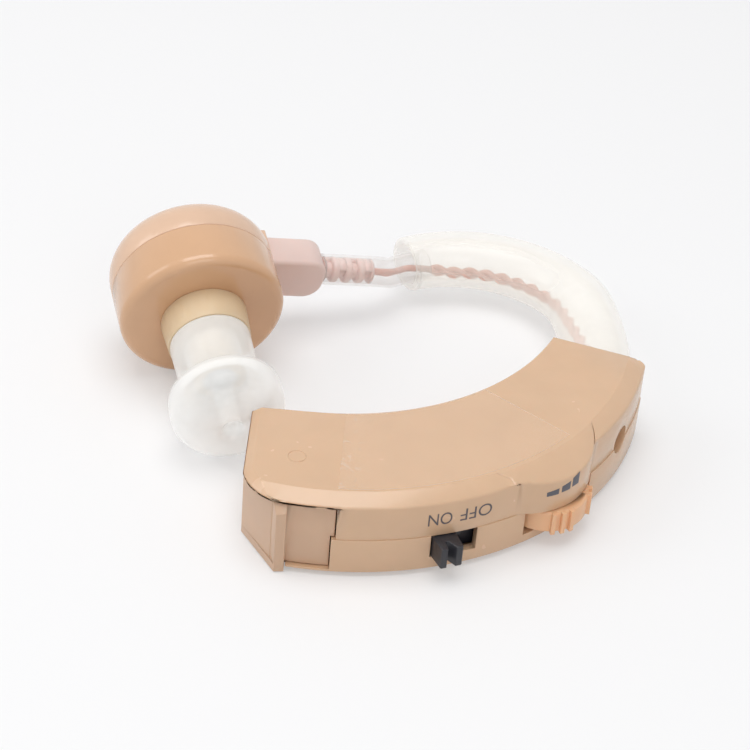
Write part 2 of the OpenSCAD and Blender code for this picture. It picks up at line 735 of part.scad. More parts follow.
module circuit_board() {
    color("#3f7a4a") difference() {
        translate([0, 0, board_z]) linear_extrude(board_t) difference() {
            union() {
                intersection() {
                    translate([outer_x, outer_y]) circle(r = outer_r - wall_t - board_gap, $fn = 180);
                    translate([ear_x, ear_y]) rotate([0, 0, board_turn - 90]) square(2 * far);
                }
                volume_wheel_place() circle(r = pot_r + run_gap);
            }
            translate([ear_x, ear_y]) circle(r = inner_r + wall_t + board_gap, $fn = 180);
            translate([hinge_x, hinge_y]) circle(r = sweep_r + board_clear, $fn = 180);
            translate([-2 * far + hinge_x, -far]) square(2 * far);
            for (turn = screw_turns) at_ear(turn, inner_r + boss_inset) circle(r = boss_r + board_gap / 2);
            on_outer(mic_turn) translate([-wall_t - boot_gap - boot_l - board_gap, -boot_r - board_gap])
                square([2 * boot_r + boot_l, 2 * (boot_r + board_gap)]);
        }
        volume_wheel_place() cylinder(r = axle_r + fit_gap, h = body_h);
        for (k = [-1 : 1]) on_outer(switch_turn) translate([-wall_t - switch_depth / 2 - slider_t, k * terminal_pitch, 0])
            cylinder(r = terminal_r + fit_gap, h = body_h);
    }
}

module amplifier_chip() {
    color("#26262a") on_board(chip_turn, chip_share) translate([-chip[0] / 2, -chip[1] / 2, 0]) cube(chip);
}

// a place on the board, at a direction and at a share of the clear width of the crescent
module on_board(turn, share) {
    at_ear(turn, inner_r + wall_t + share * (body_w - 2 * wall_t)) translate([0, 0, board_top]) children();
}
module board_boxes(turns, shares, size) {
    for (k = [0 : len(turns) - 1]) on_board(turns[k], shares[k])
        translate([-size[0] / 2, -size[1] / 2, 0]) cube(size);
}
module board_capacitors() {
    color("#c8a46a") board_boxes(capacitor_turns, capacitor_shares, capacitor);
    color("#c8a46a") on_board(can_turn, can_share) cylinder(r = can_r, h = can_h);
}
module board_resistors() {
    color("#1f1f22") board_boxes(resistor_turns, resistor_shares, resistor);
}

// Switch

module switch_housing() {
    set = wall_t + slider_set + slider_t + slider_set;
    color("#2c2c30") on_outer(switch_turn) difference() {
        translate([-set - switch_depth, -switch_w / 2, switch_low]) cube([switch_depth, switch_w, board_z - switch_low]);
        for (k = [-1 : 1]) translate([-wall_t - switch_depth / 2 - slider_t, k * terminal_pitch, board_z - wall_t])
            cylinder(r = terminal_r + fit_gap, h = body_h);
    }
}

module switch_terminals() {
    color("#d9b45c") for (k = [-1 : 1]) on_outer(switch_turn)
        translate([-wall_t - switch_depth / 2 - slider_t, k * terminal_pitch, board_z - wall_t])
            cylinder(r = terminal_r, h = wall_t + board_t + terminal_r);
}

// the slider plate lies behind the wall; its forked knob comes out of the window at the ON end
module switch_slider() {
    plate_x = wall_t + slider_set;
    knob_y = -window_w / 2 + knob_gap;
    knob_low = window_low + knob_gap;
    slider_low = knob_low + slider_low_share * knob_h;
    color("#2d2d34") on_outer(switch_turn) {
        translate([-plate_x - slider_t, knob_y - knob_gap, slider_low]) cube([slider_t, slider_w, slider_h]);
        translate([0, knob_y, knob_low]) linear_extrude(knob_h) polygon(concat(
            [[-plate_x - slider_t, 0], [-plate_x - slider_t, knob_w]],
            [for (p = knob_shares) [p[0] * knob_out, p[1] * knob_w]]));
    }
}

// Volume control

module volume_wheel() {
    smooth_r = wheel_r - rib_out;
    color("#f0bf8e") volume_wheel_place() translate([0, 0, wheel_low]) difference() {
        union() {
            rotate_extrude($fn = 96) polygon([[0, 0], [smooth_r - wheel_chamfer, 0], [smooth_r, wheel_chamfer],
                [smooth_r, wheel_h - wheel_chamfer], [smooth_r - wheel_chamfer, wheel_h], [0, wheel_h]]);
            for (g = [0 : rib_groups - 1], k = [0 : 2])
                rotate([0, 0, rib_turn - wheel_turn + g * rib_group_turn + k * rib_next_turn])
                    translate([smooth_r - rib_w, -rib_w / 2, 0]) cube([rib_out + rib_w, rib_w, wheel_h]);
        }
        translate([0, 0, -over]) cylinder(r = axle_r + run_gap, h = wheel_h + 2 * over);
        translate([0, 0, -over]) cylinder(r = axle_head_r + run_gap, h = axle_head_h + over);
    }
}

module volume_wiper() {
    color("#d9b45c") volume_wheel_place() translate([0, 0, wheel_top]) difference() {
        translate([-pot_r + run_gap, -axle_r, 0]) cube([2 * (pot_r - run_gap), 2 * axle_r, wiper_t]);
        translate([0, 0, -over]) cylinder(r = axle_r + run_gap, h = wheel_h);
    }
}

module potentiometer_base() {
    base_z = wheel_top + wiper_t + fit_gap;
    color("#8c5a3c") volume_wheel_place() difference() {
        translate([0, 0, base_z]) cylinder(r = pot_r, h = board_z - base_z);
        cylinder(r = axle_r + fit_gap, h = body_h);
    }
}

module volume_wheel_axle() {
    color("#b9bcc0") volume_wheel_place() {
        translate([0, 0, wheel_low]) cylinder(r = axle_head_r, h = axle_head_h - run_gap);
        translate([0, 0, wheel_low]) cylinder(r = axle_r, h = board_top + pot_rivet - wheel_low);
        translate([0, 0, board_top]) cylinder(r = axle_head_r, h = pot_rivet);
    }
}

// Microphone

module microphone_boot() {
    front = -wall_t - boot_gap;
    color("#ce9e68") on_outer(mic_turn) translate([0, 0, mic_z]) difference() {
        rod(boot_r, front - boot_l, front);
        rod(boot_hole_r, front - boot_l, front + over);
        rod(mic_r + fit_gap, front - boot_l - over, front - boot_front);
    }
}

module microphone() {
    front = -wall_t - boot_gap - boot_front - fit_gap;
    color("#c2c5c9") on_outer(mic_turn) translate([0, 0, mic_z]) rod(mic_r, front - mic_l, front);
}

// two wires from the back of the capsule, bent down to the board's edge
module microphone_wires() {
    back = -wall_t - boot_gap - boot_front - fit_gap - mic_l;
    wire_z = board_top + mic_wire_r - mic_z;
    color("#b3402f") on_outer(mic_turn) translate([0, 0, mic_z]) for (k = [0, 1])
        translate([0, 0, k * 3 * mic_wire_r]) {
            translate([back - 5 * mic_wire_r - k * mic_r / 2, 0, wire_z]) rotate([90, 0, 0]) cylinder(r = mic_wire_r, h = 2 * boot_r);
            rod(mic_wire_r, back - 5 * mic_wire_r - k * mic_r / 2, back);
            translate([back - 5 * mic_wire_r - k * mic_r / 2, 0, 0]) {
                sphere(r = mic_wire_r);
                cylinder(r = mic_wire_r, h = wire_z);
            }
        }
}

// Hook and lead

module hook_nozzle() {
    color("#d8d4cc") at_end() difference() {
        union() {
            rod(nozzle_flange_r, -wall_t - fit_gap - nozzle_flange_t, -wall_t - fit_gap);
            rod(nozzle_neck_r, -wall_t - fit_gap - nozzle_flange_t, nozzle_out);
            rod(nozzle_r, fit_gap, nozzle_out);
        }
        rod(nozzle_bore_r, -wall_t - 2 * nozzle_flange_t, nozzle_out + over);
    }
}

module ear_hook() {
    function rings(less) = [for (k = [0 : hook_n])
        ring_at([hook_run[k][0], hook_run[k][1], parting_z], [cos(hook_heading(k)), sin(hook_heading(k)), 0], hook_r(k) - less, hook_sides)];
    function ends(less) = let (r = rings(less), first = hook_heading(0), final = hook_heading(hook_n))
        concat([[for (p = r[0]) p - over * [cos(first), sin(first), 0]]], r,
            [[for (p = r[hook_n]) p + over * [cos(final), sin(final), 0]]]);
    color("#f1efe9") difference() {
        skin(rings(0));
        skin(ends(hook_wall));
    }
}

module receiver_lead() {
    color("#e3bfb2") hose(lead_route, lead_r, lead_sides);
}

module lead_sleeve() {
    n = len(sleeve_route) - 1;
    inner = sleeve_d / 2 - (sleeve_d - relief_d) / 2 + fit_gap;
    longer = concat([sleeve_route[0] - over * plug_dir], [for (k = [1 : n - 1]) sleeve_route[k]], [sleeve_route[n] + over * mouth_dir]);
    color("#f4efec") difference() {
        hose(sleeve_route, sleeve_d / 2, 16);
        hose(longer, inner, 16);
    }
}

// rings on a thin tube let the relief bend
module strain_relief() {
    pitch = relief_l / relief_slots;
    slot_w = relief_slot_share * pitch;
    core_r = lead_r + relief_core;
    ring_r = relief_d / 2;
    starts = [for (k = [0 : relief_slots]) k == 0 ? fit_gap : (k - 0.5) * pitch + slot_w / 2];
    ends = [for (k = [0 : relief_slots]) k == relief_slots ? relief_l : (k + 0.5) * pitch - slot_w / 2];
    color("#e8c0b4") at_plug() translate([plug_out, 0, 0]) rotate([0, 90, 0]) rotate_extrude() polygon(concat(
        [[lead_r + fit_gap, ends[relief_slots]], [lead_r + fit_gap, starts[0]]],
        [for (k = [0 : relief_slots]) each [[core_r, starts[k]], [ring_r - relief_ease, starts[k]],
            [ring_r, starts[k] + relief_ease], [ring_r, ends[k] - relief_ease],
            [ring_r - relief_ease, ends[k]], [core_r, ends[k]]]]));
}

module plug_body() {
    color("#dcb9ac") at_plug() difference() {
        translate([0, 0, -plug_t / 2]) hull() for (y = [-1, 1]) {
            translate([plug_in + fit_gap, y * plug_h / 2 - (y + 1) / 2 * plug_round, 0]) cube([plug_round, plug_round, plug_t]);
            translate([plug_out - plug_round, y * (plug_h / 2 - plug_round), 0]) cylinder(r = plug_round, h = plug_t, $fn = 32);
        }
        for (k = [0, 1]) translate([0, (k - 0.5) * pin_pitch, 0]) rod(pin_rs[k] + fit_gap, plug_in - over, plug_in + pin_root);
        rod(lead_r + fit_gap, plug_out - lead_in, plug_out + over);
    }
}

module plug_pins() {
    color("#d9b45c") at_plug() for (k = [0, 1]) translate([0, (k - 0.5) * pin_pitch, 0]) rod(pin_rs[k], plug_in - pin_l, plug_in + pin_root);
}

// Receiver

// half section of a cap: a wall and a rounded edge towards the side it closes
module cap_section(r, depth, round) {
    square([r, depth - round]);
    square([r - round, depth]);
    translate([r - round, depth - round]) intersection() {
        circle(r = round);
        square(round);
    }
}

module receiver_front_cap() {
    color("#e0b088") at_receiver() difference() {
        translate([0, 0, seam_z]) rotate_extrude($fn = 120) cap_section(rec_r, rec_front, rim_round);
        translate([0, 0, seam_z - over]) cylinder(r = rec_r - rec_wall, h = rec_front - rec_wall + over, $fn = 120);
        translate([0, 0, seam_z]) cylinder(r = spigot_r + fit_gap, h = rec_front + over);
    }
}

module receiver_back_cap() {
    socket_bore = socket_t + run_gap + fit_gap;
    inner = rec_r - rec_wall;
    color("#e3c0ab") difference() {
        union() {
            at_receiver() translate([0, 0, seam_z]) rotate([180, 0, 0])
                rotate_extrude($fn = 120) cap_section(rec_r, rec_back, back_round);
            at_receiver() translate([0, 0, seam_z - rec_wall])
                cylinder(r = inner - fit_gap, h = spigot_h + rec_wall, $fn = 120);
            at_plug() translate([rec_r - back_round, -plug_h / 2 - rec_wall, -plug_t / 2])
                cube([plug_in - rec_r + back_round, plug_h + 2 * rec_wall, plug_t]);
        }
        at_receiver() translate([0, 0, back_z + rec_wall]) cylinder(r = inner - spigot_t, h = rec_back + rec_front, $fn = 120);
        at_plug() translate([plug_in, -plug_h / 2 - run_gap, -plug_t / 2 - run_gap])
            cube([rec_r, plug_h + 2 * run_gap, plug_t + 2 * run_gap]);
        at_plug() for (k = [0, 1]) translate([0, (k - 0.5) * pin_pitch, 0])
            rod(pin_rs[k] + socket_bore, magnet_r, plug_in + over);
    }
}

module receiver_sockets() {
    color("#d9b45c") at_plug() for (k = [0, 1]) translate([0, (k - 0.5) * pin_pitch, 0]) difference() {
        rod(pin_rs[k] + run_gap + socket_t, plug_in - pin_l - socket_t, plug_in - fit_gap);
        rod(pin_rs[k] + run_gap, plug_in - pin_l - fit_gap, plug_in);
    }
}

module receiver_magnet() {
    color("#6b6e73") at_receiver() translate([0, 0, back_z + rec_wall]) cylinder(r = magnet_r, h = magnet_h);
}

module receiver_pole() {
    color("#8d9096") at_receiver() translate([0, 0, back_z + rec_wall + magnet_h]) cylinder(r = pole_r, h = pole_h);
}

module receiver_coil() {
    color("#b5652f") at_receiver() translate([0, 0, back_z + rec_wall + magnet_h]) difference() {
        cylinder(r = coil_r, h = coil_h);
        translate([0, 0, -over]) cylinder(r = pole_r + fit_gap, h = coil_h + 2 * over);
    }
}

module diaphragm_ring() {
    color("#c9b28f") at_receiver() translate([0, 0, seam_z + spigot_h]) difference() {
        cylinder(r = rec_r - rec_wall - fit_gap, h = ring_h, $fn = 120);
        translate([0, 0, -over]) cylinder(r = rec_r - rec_wall - ring_t, h = ring_h + 2 * over, $fn = 120);
    }
}

module diaphragm() {
    color("#a9acb1") at_receiver() translate([0, 0, seam_z + spigot_h + ring_h])
        cylinder(r = rec_r - rec_wall - fit_gap, h = film_disc_t, $fn = 120);
}

// Ear tip

module receiver_nozzle() {
    stem_z = front_z + stud_h + stem_l;
    color("#dcc39c") at_receiver() difference() {
        rotate_extrude($fn = 72) polygon([[0, front_z - rec_wall], [spigot_r, front_z - rec_wall], [spigot_r, front_z],
            [stud_r, front_z], [stud_end_r, front_z + stud_h], [stem_r, front_z + stud_h], [stem_r, stem_z - bead_l],
            [bead_r, stem_z - bead_l / 2], [stem_r, stem_z], [0, stem_z]]);
        translate([0, 0, front_z - rec_wall - over]) cylinder(r = sound_r, h = stem_z);
        translate([0, 0, stem_z - mesh_sink]) cylinder(r = mesh_r + fit_gap, h = mesh_sink + over);
    }
}

module wax_mesh() {
    color("#9a9da2") at_receiver() translate([0, 0, front_z + stud_h + stem_l - mesh_sink]) cylinder(r = mesh_r, h = mesh_t);
}

module ear_tip() {
    tip_z = front_z + stud_h + fit_gap;
    socket_z = front_z + stud_h + tip_socket_l;
    back_zs = tip_rest_z - tip_edge - tip_back;
    color("#f3f2ef") at_receiver() rotate_extrude($fn = 96) polygon(concat(
        [[bead_r + tip_gap, tip_z], [tip_stem_r, tip_z], [tip_stem_r, back_zs]],
        [for (k = [1 : tip_steps - 1]) let (a = 90 * k / tip_steps)
            [tip_stem_r + (tip_r - tip_stem_r) * sin(a), back_zs + tip_back * (1 - cos(a))]],
        [[tip_r, tip_rest_z - tip_edge], [tip_r, tip_rest_z]],
        [for (k = [1 : tip_steps]) let (a = 90 * k / tip_steps)
            [tip_nose_r + (tip_r - tip_nose_r) * cos(a), tip_rest_z + tip_nose * sin(a)]],
        [[sound_r, tip_rest_z + tip_nose], [sound_r, socket_z], [bead_r + tip_gap, socket_z]]));
}

upper_shell();
lower_shell();
shell_screws();
battery_door();
door_hinge_pin();
button_cell();
contact_negative();
contact_positive();
circuit_board();
amplifier_chip();
board_capacitors();
board_resistors();
switch_housing();
switch_terminals();
switch_slider();
volume_wheel();
volume_wiper();
potentiometer_base();
volume_wheel_axle();
microphone();
microphone_boot();
microphone_wires();
clear_film();
hook_nozzle();
ear_hook();
receiver_lead();
lead_sleeve();
strain_relief();
plug_body();
plug_pins();
receiver_back_cap();
receiver_front_cap();
receiver_sockets();
receiver_magnet();
receiver_pole();
receiver_coil();
diaphragm_ring();
diaphragm();
receiver_nozzle();
wax_mesh();
ear_tip();
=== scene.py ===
# Looks of the behind the ear hearing aid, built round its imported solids.
# The file follows the object as it is put together, and ends with the table, the lamps and the camera.
import math

import bmesh
import bpy
from mathutils import Matrix, Vector


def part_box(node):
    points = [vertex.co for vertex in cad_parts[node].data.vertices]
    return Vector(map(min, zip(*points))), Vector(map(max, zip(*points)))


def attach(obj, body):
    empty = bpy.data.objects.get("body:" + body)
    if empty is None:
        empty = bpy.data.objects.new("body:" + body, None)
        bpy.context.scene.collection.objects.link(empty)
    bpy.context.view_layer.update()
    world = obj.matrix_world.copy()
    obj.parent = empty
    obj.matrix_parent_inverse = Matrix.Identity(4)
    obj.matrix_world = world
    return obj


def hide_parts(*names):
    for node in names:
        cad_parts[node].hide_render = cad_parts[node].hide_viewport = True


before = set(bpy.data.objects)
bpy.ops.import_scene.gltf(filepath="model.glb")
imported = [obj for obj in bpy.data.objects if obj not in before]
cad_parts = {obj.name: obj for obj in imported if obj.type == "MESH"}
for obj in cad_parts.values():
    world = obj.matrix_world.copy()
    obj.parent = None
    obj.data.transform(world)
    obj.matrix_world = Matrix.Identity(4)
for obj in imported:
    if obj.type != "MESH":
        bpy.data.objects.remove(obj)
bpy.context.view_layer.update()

# The body's two shells are glossy beige mouldings that meet at a seam half way up and are
# screwed together from below. Their outer edges have a soft shoulder, and the upper shell
# carries a small raised mould ring over the cell.
mm = 0.001
shell_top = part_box("upper_shell")[1][2]
shoulder_zone = (shell_top - 1.3 * mm, shell_top + mm)
shoulder_radius = 0.22 * mm
foot_zone = (-mm, 0.5 * mm)
foot_radius = 0.14 * mm


def paint(red, green, blue):
    """The linear colour of a tint given as 0 to 255 on a screen."""
    shares = [value / 255 for value in (red, green, blue)]
    return tuple(s / 12.92 if s <= 0.04045 else ((s + 0.055) / 1.055) ** 2.4 for s in shares)


class Wire:
    """A socket of a finish. Sums of wires and numbers add the nodes that work them out."""

    def __init__(self, tree, socket):
        self.tree = tree
        self.socket = socket

    def node(self, kind, settings, sockets, output=0):
        """Adds a node with its settings, feeds its sockets, and returns a wire from its output."""
        made = self.tree.nodes.new(kind)
        for name, value in settings.items():
            if name == "stops":
                while len(made.color_ramp.elements) < len(value):
                    made.color_ramp.elements.new(1)
                for stop, (place, shade) in zip(made.color_ramp.elements, value):
                    stop.position = place
                    stop.color = (shade, shade, shade, 1)
            else:
                setattr(made, name, value)
        for name, value in sockets.items():
            if isinstance(value, Wire):
                self.tree.links.new(value.socket, made.inputs[name])
            else:
                made.inputs[name].default_value = value
        return Wire(self.tree, made.outputs[output])

    def noise(self, scale, detail, **more):
        """Cloudy noise laid out from this wire's place."""
        return self.node("ShaderNodeTexNoise", {}, {"Vector": self, "Scale": scale, "Detail": detail, **more})

    def maths(self, operation, first, second):
        return self.node("ShaderNodeMath", {"operation": operation}, {0: first, 1: second})

    def __add__(self, other):
        return self.maths("ADD", self, other)

    def __radd__(self, other):
        return self.maths("ADD", other, self)

    def __sub__(self, other):
        return self.maths("SUBTRACT", self, other)

    def __rsub__(self, other):
        return self.maths("SUBTRACT", other, self)

    def __mul__(self, other):
        return self.maths("MULTIPLY", self, other)

    def __rmul__(self, other):
        return self.maths("MULTIPLY", other, self)


def finish(name, colour, roughness, **fixed):
    """A finish with one shader. Returns it, a wire at the piece's own place, and the shader's node."""
    made = bpy.data.materials.new(name)
    made.use_nodes = True
    tree = made.node_tree
    shader = tree.nodes["Principled BSDF"]
    shader.inputs["Base Color"].default_value = (*colour, 1)
    shader.inputs["Roughness"].default_value = roughness
    for socket, value in fixed.items():
        shader.inputs[socket.replace("_", " ")].default_value = value
    place = tree.nodes.new("ShaderNodeTexCoord")
    return made, Wire(tree, place.outputs["Object"]), shader


def feed(shader, socket, wire):
    """Links a wire to a socket of a shader."""
    wire.tree.links.new(wire.socket, shader.inputs[socket])


def moulded(name, colour, roughness, mottle=0.03, peel=0.004, speck=0.0, **fixed):
    """Moulded plastic: faint clouds in the colour, an uneven gloss, a fine skin and perhaps dark specks."""
    made, place, shader = finish(name, colour, roughness, **fixed)
    clouds = place.noise(260, 3)
    fine = place.noise(2600, 2)
    deep = tuple(c * (1 - 2 * mottle) for c in colour)
    light = tuple(min(1, c * (1 + 2 * mottle)) for c in colour)
    mix = "ShaderNodeMix"
    mix_colours = {"data_type": "RGBA"}
    body = place.node(mix, mix_colours, {0: clouds, 6: (*deep, 1), 7: (*light, 1)}, 2)
    if speck:
        dots = place.node("ShaderNodeTexVoronoi", {}, {"Vector": place, "Scale": 480})
        few = place.node("ShaderNodeValToRGB", {"stops": [(0.03, 1), (0.06, 0)]}, {0: dots})
        dark = tuple(c * 0.6 for c in colour)
        body = place.node(mix, mix_colours, {0: few * speck, 6: body, 7: (*dark, 1)}, 2)
    feed(shader, "Base Color", body)
    gloss_swing = 0.08
    feed(shader, "Roughness", roughness + gloss_swing * (clouds - 0.5))
    skin = place.node("ShaderNodeBump", {}, {"Height": fine, "Distance": peel * mm, "Strength": 0.5})
    feed(shader, "Normal", skin)
    return made


def depth(share, red, green, blue):
    """Settings for plastic that light sinks into, with its reach in millimetres for each colour."""
    return {"Subsurface_Weight": share, "Subsurface_Radius": (red * mm, green * mm, blue * mm)}


def dress(node, made):
    """Gives a solid its finish."""
    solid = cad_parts[node]
    solid.data.materials.clear()
    solid.data.materials.append(made)


def add_piece(name, mesh, made, body="case", replaces=None):
    """Puts a finished mesh in the scene as a piece that rides with a body."""
    piece = bpy.data.objects.new(name, mesh)
    bpy.context.scene.collection.objects.link(piece)
    mesh.materials.clear()
    mesh.materials.append(made)
    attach(piece, body)
    if replaces:
        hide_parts(replaces)
    return piece


def eased(node, made, radius, body="case", soft=0.4, small=1.0, wide_zone=None):
    """A copy of a solid with its sharp edges eased, as a mould leaves them. It takes the solid's place.
    Soft is the share for blunt edges. With a wide zone, a pair of heights, edges outside it are eased
    by a small share, and hollow corners and the zone's short edges aren't eased."""
    sharp_turn = 50
    blunt_turn = 14
    short_edge = 0.15 * mm
    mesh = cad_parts[node].data.copy()
    mesh.shade_smooth()
    work = bmesh.new()
    work.from_mesh(mesh)
    bmesh.ops.remove_doubles(work, verts=work.verts, dist=0.003 * mm)
    bmesh.ops.dissolve_limit(work, angle_limit=math.radians(0.6), verts=work.verts, edges=work.edges)
    weight = work.edges.layers.float.new("bevel_weight_edge")
    for edge in work.edges:
        turn = math.degrees(edge.calc_face_angle_signed(0))
        heights = [vertex.co.z for vertex in edge.verts]
        wide = wide_zone is None or (min(heights) > wide_zone[0] and max(heights) < wide_zone[1])
        share = 1 if turn > sharp_turn else soft if turn > blunt_turn else 0
        edge[weight] = share * (1 if wide else small)
        if wide_zone and (turn < 0 or (wide and edge.calc_length() < short_edge)):
            edge[weight] = 0
        edge.smooth = edge[weight] > 0 or abs(turn) < blunt_turn
    work.to_mesh(mesh)
    work.free()
    piece = add_piece(node + "_moulding", mesh, made, body, node)
    ease = piece.modifiers.new("eased_edges", "BEVEL")
    ease.width = radius
    ease.segments = 3
    ease.limit_method = "WEIGHT"
    ease.use_clamp_overlap = False
    ease.harden_normals = True


shell_beige = moulded("shell_beige", paint(213, 177, 144), roughness=0.26,
                      Coat_Weight=0.2, Coat_Roughness=0.1, **depth(0.15, 1.2, 0.6, 0.4))
eased("upper_shell", shell_beige, shoulder_radius, soft=0, small=0.1, wide_zone=shoulder_zone)
eased("lower_shell", shell_beige, foot_radius, soft=0, small=0.25, wide_zone=foot_zone)

ring_centre = Vector((-13.68 * mm, -2.89 * mm, shell_top))
ring_radius = 0.85 * mm
ring_wire = 0.05 * mm


def flat_ring(centre, radius, wire):
    """A thin round wire bent to a ring that lies flat."""
    around = 64
    sides = 8
    points = []
    for a in range(around):
        turn = 2 * math.pi * a / around
        out = Vector((math.cos(turn), math.sin(turn), 0))
        for s in range(sides):
            lean = 2 * math.pi * s / sides
            rise = Vector((0, 0, wire * math.sin(lean)))
            points.append(centre + (radius + wire * math.cos(lean)) * out + rise)
    faces = []
    for a in range(around):
        here = a * sides
        ahead = (a + 1) % around * sides
        for s in range(sides):
            beside = (s + 1) % sides
            faces.append((here + s, ahead + s, ahead + beside, here + beside))
    mesh = bpy.data.meshes.new("ring")
    mesh.from_pydata(points, [], faces)
    mesh.shade_smooth()
    return mesh


add_piece("mould_ring", flat_ring(ring_centre, ring_radius, ring_wire), shell_beige)


def metal(name, colour, roughness, least, swing, scale, detail=2):
    """Bare or plated metal, whose gloss varies with the marks of its making."""
    made, place, shader = finish(name, colour, roughness, Metallic=1.0)
    feed(shader, "Roughness", least + swing * place.noise(scale, detail))
    return made


screw_steel = metal("screw_steel", paint(176, 178, 182), 0.35, least=0.28, swing=0.2, scale=3000)
for node in ("shell_screws", "door_hinge_pin", "volume_wheel_axle", "wax_mesh"):
    dress(node, screw_steel)

# The cell sits in a swinging door of the same plastic, turning on a steel pin. Its facet has a
# ridge for the finger nail, and its wall is faintly speckled. The cell's can is bright nickel.
door_beige = moulded("door_beige", paint(206, 172, 144), roughness=0.3, speck=0.5,
                     **depth(0.15, 1.2, 0.6, 0.4))
eased("battery_door", door_beige, 0.06 * mm, body="door", soft=0.6)
can_nickel = metal("can_nickel", paint(205, 203, 198), 0.22, least=0.16, swing=0.2, scale=1800, detail=4)
dress("button_cell", can_nickel)
dress("microphone", can_nickel)

# Spring contacts, terminals, pins and sockets are rolled or turned brass, gold plated,
# and soldered or pressed where they end.
gold_plate = metal("gold_plate", paint(214, 174, 92), 0.25, least=0.2, swing=0.15, scale=1500)
for node in ("contact_negative", "contact_positive", "switch_terminals", "volume_wiper",
             "plug_pins", "receiver_sockets"):
    dress(node, gold_plate)

# The board is glass fibre under green lacquer, held by the bosses, with the amplifier and
# its small parts soldered on top.
dress("circuit_board", moulded("board_lacquer", paint(46, 104, 62), roughness=0.3))
dress("amplifier_chip", moulded("chip_epoxy", paint(36, 36, 40), roughness=0.5))
dress("board_resistors", moulded("resistor_glaze", paint(30, 30, 34), roughness=0.35))
dress("board_capacitors", moulded("capacitor_ceramic", paint(176, 140, 96), roughness=0.45))

# The slide switch is black plastic, and its forked knob comes out of a window in the lower
# shell. The two words above it are printed in grey ink, upside down for the wearer.
knob_black = moulded("knob_black", paint(42, 42, 48), roughness=0.36, mottle=0.08, peel=0.01)
dress("switch_housing", knob_black)
eased("switch_slider", knob_black, 0.06 * mm, body="switch", soft=0.5)
ink_grey = moulded("ink_grey", paint(92, 84, 86), roughness=0.5, mottle=0.1)
ink_lift = 0.012 * mm
outer_centre = Vector((-10.661, 21.878, 0)) * mm
outer_radius = 31.2 * mm
word_height = 1.42 * mm


def printed_word(name, text, middle_turn, middle_z, width):
    """A flat word bent round the body's outer wall, turned upside down."""
    letters = bpy.data.curves.new(name + "_letters", "FONT")
    letters.body = text
    letters.align_x = "CENTER"
    letters.align_y = "CENTER"
    drawn = bpy.data.objects.new(name + "_drawn", letters)
    mesh = bpy.data.meshes.new_from_object(drawn)
    bpy.data.objects.remove(drawn)
    xs = [vertex.co.x for vertex in mesh.vertices]
    ys = [vertex.co.y for vertex in mesh.vertices]
    wide = max(xs) - min(xs)
    tall = max(ys) - min(ys)
    middle_x = (max(xs) + min(xs)) / 2
    middle_y = (max(ys) + min(ys)) / 2
    radius = outer_radius + ink_lift
    for vertex in mesh.vertices:
        turn = math.radians(middle_turn) - (vertex.co.x - middle_x) / wide * width / radius
        height = middle_z - (vertex.co.y - middle_y) / tall * word_height
        vertex.co = outer_centre + Vector((radius * math.cos(turn), radius * math.sin(turn), height))
    add_piece(name, mesh, ink_grey)


printed_word("word_on", "ON", middle_turn=-69.55, middle_z=6.42 * mm, width=2.38 * mm)
printed_word("word_off", "OFF", middle_turn=-62.8, middle_z=6.45 * mm, width=3.3 * mm)

# The volume wheel is a ribbed disc of a pinker plastic on a riveted axle. Three plain bars,
# printed on the swelling of the upper shell above it, grow towards loud.
wheel_peach = moulded("wheel_peach", paint(236, 187, 145), roughness=0.36, **depth(0.25, 1.2, 0.7, 0.4))
eased("volume_wheel", wheel_peach, 0.06 * mm, body="wheel", soft=0.5)
dress("potentiometer_base", moulded("phenolic_brown", paint(120, 78, 50), roughness=0.5))
bar_grey = moulded("bar_grey", paint(88, 88, 96), roughness=0.45, mottle=0.1)
swelling_centre = Vector((7.389, 4.078, 0)) * mm
swelling_radius = 7.35 * mm


def printed_bar(name, first_turn, final_turn, low, high):
    """A flat bar bent round the swelling, with a top edge that climbs its last quarter of height."""
    steps = 8
    climb = 0.25
    points = []
    for k in range(steps + 1):
        turn = math.radians(first_turn + (final_turn - first_turn) * k / steps)
        out = Vector((math.cos(turn), math.sin(turn), 0)) * (swelling_radius + ink_lift)
        top = low + (high - low) * (1 - climb + climb * k / steps)
        points.append(swelling_centre + out + Vector((0, 0, low * mm)))
        points.append(swelling_centre + out + Vector((0, 0, top * mm)))
    mesh = bpy.data.meshes.new("volume_bar")
    mesh.from_pydata(points, [], [(2 * k, 2 * k + 2, 2 * k + 3, 2 * k + 1) for k in range(steps)])
    add_piece(name, mesh, bar_grey)


printed_bar("volume_bar_1", -67.3, -57.0, low=6.35, high=7.05)
printed_bar("volume_bar_2", -54.6, -46.2, low=6.4, high=7.4)
printed_bar("volume_bar_3", -44.3, -36.8, low=6.5, high=7.95)

# The microphone sits in a rubber boot behind its hole, with two wires soldered to the board.
# The boot is moulded in a tan close to the shell's.
dress("microphone_boot", moulded("boot_rubber", paint(206, 158, 104), roughness=0.5))
dress("microphone_wires", moulded("wire_red", paint(170, 60, 44), roughness=0.4))

